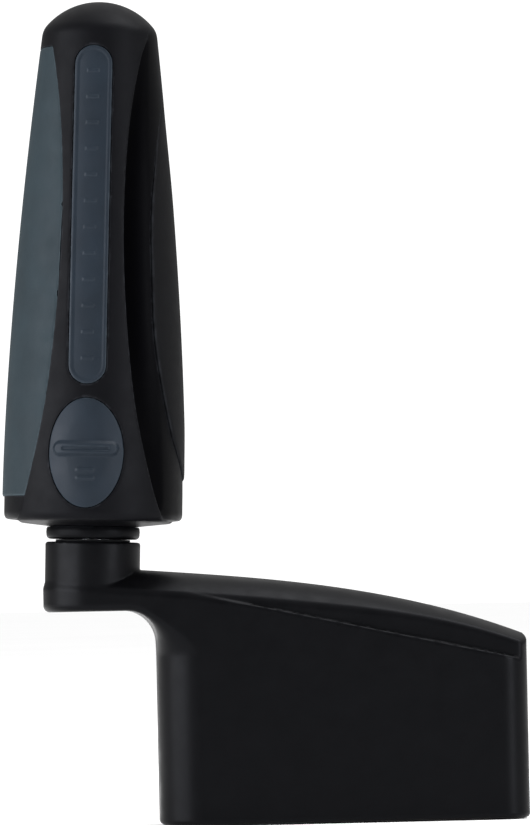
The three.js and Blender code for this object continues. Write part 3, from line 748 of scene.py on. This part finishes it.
def thickened(points, inner_points, triangles):
    """A patch closed with an inner surface and a wall along its border."""
    used = np.unique(triangles)
    order = np.full(len(points), -1)
    order[used] = np.arange(len(used))
    faces = order[triangles]
    count = len(used)
    edges = np.concatenate([faces[:, [0, 1]], faces[:, [1, 2]], faces[:, [2, 0]]])
    keys = edges[:, 0] * count + edges[:, 1]
    lonely = edges[~np.isin(edges[:, 1] * count + edges[:, 0], keys)]
    walls = np.concatenate(
        [
            np.stack([lonely[:, 1], lonely[:, 0], lonely[:, 0] + count], 1),
            np.stack([lonely[:, 1], lonely[:, 0] + count, lonely[:, 1] + count], 1),
        ]
    )
    inner = faces[:, ::-1] + count
    return np.concatenate([points[used], inner_points[used]]), np.concatenate([faces, inner, walls])


def grip_piece(name, points, faces, slot, node, rear=False):
    if rear:
        points = points * (1, -1, 1)
        faces = faces[:, ::-1]
    placed = on_pivot(points, GRIP_BOTTOM, GRIP_REST_TURN)
    return mesh_object(name, placed, faces, slot, "grip", node)


EDGE = 0.02  # closer to an outline than this is on it
BASE_FADE = (46, 64)
# Where the groove beside the right pad is painted dark as shade, and how that shade fades.
FLUTE_SHADE_WIDTH_HIGH = math.radians(12)
FLUTE_SHADE_WIDTH_MORE = math.radians(60)
FLUTE_SHADE_WIDENS = (79, 50)
FLUTE_SHADE_BOTTOM = (0.2, 1.5)
FLUTE_SHADE_TOP = (78, 72)
FLUTE_SHADE_LOSS = 0.35
FLUTE_SHADE_END = 1.4
RIB_EDGE_SINK = 0.07
INLAY_EDGE_SINK = 0.05
PAD_POCKET = 1.4
LENS_POCKET = 1.3
STRIP_POCKET = 0.9
BADGE_POCKET = 0.8
HALF_SEAM = 0.08


def base_depth(height):
    """The black surface lies below the ribs, and comes flush with them towards the dome."""
    return BASE_DEPTH * (1 - smooth_step(*BASE_FADE, height))


def flute_edges(way):
    """Azimuths of the rib's right edge and of the right pad's edge."""
    radius, height = np.maximum(radius_at(way), 1), np.clip(height_at(way), 0, RIB_OUTLINE[-1][1])
    rib = np.interp(height, RIB_CURVE[:, 1], RIB_CURVE[:, 0]) + RIB_SHIFT
    lens = np.interp(height, LENS_CURVE[:, 1], LENS_CURVE[:, 0])
    return np.arcsin(np.clip(rib / radius, 0, 0.98)), np.arccos(np.clip(lens / radius, 0, 0.98))


def flute_depth(azimuth, way):
    """A groove beside the right pad: deepest at the rib's edge, and flush again at the pad's."""
    rib_edge, lens_edge = flute_edges(way)
    along = np.sin(np.pi * np.clip((height_at(way) - FLUTE_FROM) / (FLUTE_TO - FLUTE_FROM), 0, 1))
    width = np.minimum(FLUTE_REACH * along**0.5 + 0.02, np.maximum(lens_edge - rib_edge, 0.02))
    share = (azimuth - rib_edge) / width
    return np.where(azimuth > 0, FLUTE_DEPTH * along**0.6 * (1 - smooth_step(0, 1, share)), 0)


def flute_painted_shade(azimuth, way):
    """How far the groove beside the right pad is painted dark as shade: fully at the rib, less towards the
    pad.
    """
    height = height_at(way)
    rib_edge, lens_edge = flute_edges(way)
    widest = FLUTE_SHADE_WIDTH_HIGH + FLUTE_SHADE_WIDTH_MORE * smooth_step(*FLUTE_SHADE_WIDENS, height)
    width = np.minimum(lens_edge - rib_edge, widest)
    share = (azimuth - rib_edge) / np.maximum(width, 0.02)
    ends = smooth_step(*FLUTE_SHADE_BOTTOM, height) * smooth_step(*FLUTE_SHADE_TOP, height)
    across = (1 - FLUTE_SHADE_LOSS * np.clip(share, 0, 1) ** 2) * (1 - smooth_step(1, FLUTE_SHADE_END, share))
    painted_shade = ends * across
    return np.where((azimuth > 0) & (off_rib(azimuth, way) > EDGE), painted_shade, 0)


def shell_lift(azimuth, way):
    """How far the shell's surface is off the grip's envelope."""
    height = height_at(way)
    rib, lens, pad = off_rib(azimuth, way), off_lens(azimuth, way), off_left_pad(azimuth, way)
    fade = 1 - smooth_step(BASE_UP_TO - 1.5, BASE_UP_TO + 1.5, height)
    lift = np.where(rib > EDGE, -base_depth(height) - flute_depth(azimuth, way), 0)
    lift = np.where((np.abs(rib) <= EDGE) & (azimuth > 0), -RIB_EDGE_SINK * fade, lift)
    lift = np.where(pad < -EDGE, -PAD_POCKET, lift)
    lift = np.where(lens < -EDGE, -LENS_POCKET, lift)
    for outline, depth in ((off_strip, STRIP_POCKET), (off_badge, BADGE_POCKET)):
        off = outline(azimuth, way)
        lift = np.where(off < -EDGE, -depth, lift)
        lift = np.where(np.abs(off) <= EDGE, -INLAY_EDGE_SINK, lift)
    return lift


def make_shells():
    azimuths = np.linspace(-math.pi / 2, math.pi / 2, 176)
    ways = np.linspace(0, LENGTH[-1], 300)
    outlines = (off_rib, off_lens, off_left_pad, off_strip, off_badge)
    azimuth, way = snapped_grid(azimuths, ways, outlines)
    lift = shell_lift(azimuth, way)
    triangles = grid_triangles(lift)
    points = surface(azimuth, way, lift).reshape(-1, 3)
    points[:, 1] -= HALF_SEAM
    # Painted shade for the groove beside the right pad, stored on the shells as a point attribute.
    painted_flute_shade = flute_painted_shade(azimuth, way)
    for face, rear in (("front", False), ("rear", True)):
        shell = grip_piece(f"{face}_moulded_shell", points, triangles, "grip_black", f"{face}_shell", rear)
        layer = shell.data.attributes.new("painted_flute_shade", "FLOAT", "POINT")
        layer.data.foreach_set("value", painted_flute_shade.reshape(-1).astype(np.float32))


def patch(outline, azimuths, ways, gap, lift_of, depth):
    """The part of the grip's surface inside an outline, as a closed plate."""

    def inside(azimuth, way):
        return outline(azimuth, way) + gap

    azimuth, way = snapped_grid(azimuths, ways, (inside,))
    off = inside(azimuth, way)
    lift = lift_of(azimuth, way, off)
    side = np.where(np.abs(off) <= EDGE, 0.0, np.sign(off))
    triangles = grid_triangles(side)
    flat_side = side.reshape(-1)[triangles]
    kept = triangles[(flat_side.max(axis=1) <= 0) & (flat_side.min(axis=1) < 0)]
    points = surface(azimuth, way, lift).reshape(-1, 3)
    inner = surface(azimuth, way, np.full(lift.shape, -depth)).reshape(-1, 3)
    return thickened(points, inner, kept)


def rolled_edge(off, drop, reach):
    """A lip that rolls over towards an outline."""
    share = np.clip(-off / reach, 0, 1)
    return -drop * (1 - np.sqrt(1 - (1 - share) ** 2))


PAD_GAP = 0.05
PAD_LIP = (0.09, 0.5)
PAD_THICKNESS = 1.2
LENS_GAP = 0.12
LENS_LIP = (0.22, 0.8)
LENS_THICKNESS = 1.1
LENS_PROUD = 0.15
LENS_RISE = (7, 16)
LENS_FALL = (48, 63)


def pad_lift(azimuth, way, off):
    return rolled_edge(off, *PAD_LIP)


def make_left_pad():
    azimuths = np.linspace(math.radians(-158), math.radians(-22), 150)
    ways = np.linspace(way_at(LEFT_PAD_FROM) - 0.5, way_at(LEFT_PAD_TO) + 0.5, 250)
    points, faces = patch(off_left_pad, azimuths, ways, PAD_GAP, pad_lift, PAD_THICKNESS)
    grip_piece("left_soft_pad", points, faces, "pad_blue_grey", "left_pad")


def lens_lift(azimuth, way, off):
    """The right pad stands a little proud, and comes flush at its two tips."""
    height = height_at(way)
    proud = smooth_step(*LENS_RISE, height) * (1 - smooth_step(*LENS_FALL, height))
    return proud * LENS_PROUD + rolled_edge(off, *LENS_LIP)


def make_lens_pad():
    azimuths = np.linspace(math.radians(42), math.radians(138), 110)
    ways = np.linspace(way_at(6.0), way_at(66.2), 220)
    points, faces = patch(off_lens, azimuths, ways, LENS_GAP, lens_lift, LENS_THICKNESS)
    grip_piece("right_soft_pad", points, faces, "pad_black", "right_pad")


INLAY_GAP = 0.14
STRIP_THICKNESS = 0.75
STRIP_FLOOR = 0.16
STRIP_LIP = (0.08, 0.25)
MARK_COUNT = 12
MARK_MARGIN = 4.0
MARK_HALF_LENGTH = 0.9
MARK_HALF_HEIGHT = 0.22
MARK_PROUD = 0.1


def strip_lift(azimuth, way, off):
    """A bevelled rim round a lowered floor, with a row of plain raised dashes."""
    floor = -STRIP_FLOOR * smooth_step(-0.35, -0.75, off)
    across = radius_at(way) * np.sin(azimuth)
    height = height_at(way)
    first, last = STRIP_FROM + MARK_MARGIN, STRIP_TO - MARK_MARGIN
    spacing = (last - first) / (MARK_COUNT - 1)
    nearest = np.clip(np.round((height - first) / spacing), 0, MARK_COUNT - 1)
    off_middle = np.abs(height - first - nearest * spacing)
    mark = np.maximum(off_middle - MARK_HALF_HEIGHT, np.abs(across) - MARK_HALF_LENGTH)
    return floor + MARK_PROUD * smooth_step(0.12, -0.08, mark) + rolled_edge(off, *STRIP_LIP)


BADGE_THICKNESS = 0.65
BADGE_DOME = 0.2
BADGE_LIP = (0.1, 0.35)
BAR_UP = 0.6  # above the oval's middle
BAR_PROUD = 0.5
BAR_SHAPE = (3.8, 1.0)  # half of the straight part, and the round ends' radius
GROOVE_DEPTH = 0.2
GROOVE_SHAPE = (3.2, 0.22)
RIDGE_PROUD = 0.14
RIDGE_SHAPE = (1.1, 0.26)
RIDGES_BELOW = (3.2, 4.4)  # below the bar


def off_slot(across, up, shape):
    """Signed distance to a flat slot shape with round ends."""
    half_straight, radius = shape
    return np.hypot(np.maximum(np.abs(across) - half_straight, 0), up) - radius


def badge_lift(azimuth, way, off):
    """A domed oval with one plain thumb bar, split by a groove, and two short ridges under it."""
    across = radius_at(way) * np.sin(azimuth)
    above_bar = height_at(way) - BADGE_MIDDLE - BAR_UP
    lift = BADGE_DOME * smooth_step(0, -3.0, off)
    lift = lift + BAR_PROUD * smooth_step(0.3, -0.4, off_slot(across, above_bar, BAR_SHAPE))
    lift = lift - GROOVE_DEPTH * smooth_step(0.15, -0.12, off_slot(across, above_bar, GROOVE_SHAPE))
    for below in RIDGES_BELOW:
        ridge = off_slot(across, above_bar + below, RIDGE_SHAPE)
        lift = lift + RIDGE_PROUD * smooth_step(0.15, -0.15, ridge)
    return lift + rolled_edge(off, *BADGE_LIP)


def make_inlays():
    strip_azimuths = np.linspace(math.radians(-21), math.radians(21), 74)
    strip_ways = np.linspace(way_at(STRIP_FROM) - 0.4, way_at(STRIP_TO) + 0.4, 480)
    strip = patch(off_strip, strip_azimuths, strip_ways, INLAY_GAP, strip_lift, STRIP_THICKNESS)
    badge_azimuths = np.linspace(math.radians(-26), math.radians(26), 100)
    badge_ways = np.linspace(way_at(1.9), way_at(19.3), 140)
    badge = patch(off_badge, badge_azimuths, badge_ways, INLAY_GAP, badge_lift, BADGE_THICKNESS)
    for face, rear in (("front", False), ("rear", True)):
        grip_piece(f"{face}_inlay_strip", *strip, "inlay_blue_grey", f"{face}_strip", rear)
        grip_piece(f"{face}_inlay_badge", *badge, "inlay_blue_grey", f"{face}_badge", rear)


FLANGE_BOTTOM = 11.05
FLANGE_TOP = 12.9
FLANGE_RADIUS = 7.12
FLANGE_CORNER = 0.62
FLANGE_FACE = 6.1
BUSH_BORE = 2.58
BUSH_RADIUS = 4.6
BUSH_TOP = 22.3
FLANGE_STEPS = 96


def flange_profile():
    """(radius, height) pairs round one half of the flanged bush, with bulging sides."""
    bottom, top, radius, corner = FLANGE_BOTTOM, FLANGE_TOP, FLANGE_RADIUS, FLANGE_CORNER
    turn = np.linspace(0, math.pi / 2, 8)
    outside = [(radius - corner * (1 - math.sin(a)), bottom + corner * (1 - math.cos(a))) for a in turn]
    outside += [(radius + 0.05, bottom + 1.1), (radius, top - 0.25), (radius - 0.15, top)]
    sleeve = [(BUSH_RADIUS, top), (BUSH_RADIUS, BUSH_TOP), (BUSH_BORE, BUSH_TOP)]
    return [(BUSH_BORE, bottom), (FLANGE_FACE, bottom), *outside, *sleeve]


def make_flange():
    profile = flange_profile()
    steps = FLANGE_STEPS
    turn = np.linspace(0, 2 * math.pi, steps, endpoint=False)
    rings = [np.stack([r * np.cos(turn), r * np.sin(turn), np.full(steps, z)], axis=1) for r, z in profile]
    faces = []
    for low in range(len(profile)):
        high = (low + 1) % len(profile)
        for k in range(steps):
            following = (k + 1) % steps
            corners = (low * steps + k, low * steps + following, high * steps + following, high * steps + k)
            faces.append(corners)
    points = on_pivot(np.concatenate(rings))
    mesh_object("lower_bush_ring", points, faces, "bush_black", "grip", "lower_bush", 40)


# ---- Build ----

CARRIED = {
    "spindle": "spindle_steel",
    "thrust_washer": "washer_black",
    "retaining_washer": "fastener_zinc",
    "retaining_screw": "fastener_zinc",
    "core_sleeve": "core_black",
    "upper_bush": "bush_white",
    "front_upper_screw": "fastener_zinc",
    "front_lower_screw": "fastener_zinc",
    "rear_upper_screw": "fastener_zinc",
    "rear_lower_screw": "fastener_zinc",
}

make_crank_body()
make_shells()
make_left_pad()
make_lens_pad()
make_inlays()
make_flange()
for node, slot in CARRIED.items():
    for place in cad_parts[node].material_slots:
        place.material = MATERIALS[slot]


# ---- Floor, light and camera ----


FLOOR_SIZE = 60
FLOOR_GAP = 0.0002
FLOOR_MOTTLE_MM = 400.0
BACKDROP_STRENGTH = 1.17
SHEEN_FROM = 0.03  # what the gloss reflects at the horizon
SHEEN_TO = 1.3  # and overhead
OVERHEAD = (0.05, 0.1, 0.99)


def make_floor():
    bpy.ops.mesh.primitive_plane_add(size=FLOOR_SIZE, location=(0, 0, cad_low.z - FLOOR_GAP))
    floor = bpy.context.object
    floor.name = "floor"
    shader = Shader("pale floor")
    pale = shader.mix(shader.noise(FLOOR_MOTTLE_MM), linear(244, 244, 244), linear(250, 250, 250))
    shader.join(pale, shader.surface.inputs["Base Color"])
    shader.surface.inputs["Roughness"].default_value = 0.9
    shader.surface.inputs["Specular IOR Level"].default_value = 0.1
    floor.data.materials.append(shader.material)


LIGHTS = [  # name, place, size, watts
    ("left", (-0.72, -0.34, 0.15), (0.8, 0.5), 11.2),
    ("right", (0.6, -0.6, 0.15), (0.25, 0.4), 3.4),
    ("top", (0.42, -0.05, 0.85), (0.5, 0.8), 7.2),
]
LIGHTS_AIM = (0, 0, 0.06)


def softbox(name, place, size, power):
    light = bpy.data.lights.new(name, "AREA")
    light.shape = "RECTANGLE"
    light.size, light.size_y = size
    light.energy = power
    lamp = bpy.data.objects.new(name, light)
    lamp.location = place
    lamp.rotation_euler = (Vector(LIGHTS_AIM) - Vector(place)).to_track_quat("-Z", "Y").to_euler()
    bpy.context.scene.collection.objects.link(lamp)


def make_world():
    """White to the camera and to diffuse light, and a soft fade from horizon to zenith in the gloss."""
    world = bpy.data.worlds.new("studio")
    bpy.context.scene.world = world
    world.use_nodes = True
    tree = world.node_tree
    seen = tree.nodes["Background"]
    seen.inputs["Color"].default_value = (1, 1, 1, 1)
    seen.inputs["Strength"].default_value = BACKDROP_STRENGTH
    fill = tree.nodes.new("ShaderNodeBackground")
    fill.inputs["Color"].default_value = (1, 1, 1, 1)
    place = tree.nodes.new("ShaderNodeTexCoord")
    lean = tree.nodes.new("ShaderNodeVectorMath")
    lean.operation = "DOT_PRODUCT"
    lean.inputs[1].default_value = OVERHEAD
    fade = tree.nodes.new("ShaderNodeMapRange")
    limits = (("From Min", 0.0), ("From Max", 1.0), ("To Min", SHEEN_FROM), ("To Max", SHEEN_TO))
    for key, value in limits:
        fade.inputs[key].default_value = value
    tree.links.new(place.outputs["Generated"], lean.inputs[0])
    tree.links.new(lean.outputs["Value"], fade.inputs["Value"])
    tree.links.new(fade.outputs["Result"], fill.inputs["Strength"])
    path = tree.nodes.new("ShaderNodeLightPath")
    either = tree.nodes.new("ShaderNodeMath")
    either.operation = "MAXIMUM"
    tree.links.new(path.outputs["Is Camera Ray"], either.inputs[0])
    tree.links.new(path.outputs["Is Diffuse Ray"], either.inputs[1])
    mix = tree.nodes.new("ShaderNodeMixShader")
    tree.links.new(either.outputs[0], mix.inputs[0])
    tree.links.new(fill.outputs[0], mix.inputs[1])
    tree.links.new(seen.outputs[0], mix.inputs[2])
    tree.links.new(mix.outputs[0], tree.nodes["World Output"].inputs["Surface"])


CAMERA_DISTANCE = 0.8
CAMERA_AZIMUTH = math.radians(-4.0)
CAMERA_ELEVATION = math.radians(-2.1)
CAMERA_ROLL = math.radians(-1.188)
CAMERA_CENTRE = Vector((0, 0, 0.063))
CAMERA_AIM_OFFSET = (0.00072, -0.00033)
CAMERA_LENS = 227.4


def make_camera():
    sin_a, cos_a = math.sin(CAMERA_AZIMUTH), math.cos(CAMERA_AZIMUTH)
    sin_e, cos_e = math.sin(CAMERA_ELEVATION), math.cos(CAMERA_ELEVATION)
    back = Vector((sin_a * cos_e, -cos_a * cos_e, sin_e))
    right = Vector((cos_a, sin_a, 0))
    up = back.cross(right)
    aim = CAMERA_CENTRE + right * CAMERA_AIM_OFFSET[0] + up * CAMERA_AIM_OFFSET[1]
    data = bpy.data.cameras.new("camera")
    data.lens = CAMERA_LENS
    data.sensor_width = 36
    data.clip_start, data.clip_end = 0.05, 100
    camera = bpy.data.objects.new("camera", data)
    camera.location = CAMERA_CENTRE + back * CAMERA_DISTANCE
    level = (aim - camera.location).to_track_quat("-Z", "Y")
    camera.rotation_euler = (level.to_matrix() @ Matrix.Rotation(CAMERA_ROLL, 3, "Z")).to_euler()
    bpy.context.scene.collection.objects.link(camera)
    bpy.context.scene.camera = camera


make_floor()
make_world()
for light in LIGHTS:
    softbox(*light)
make_camera()
bpy.context.scene.view_settings.view_transform = "Standard"
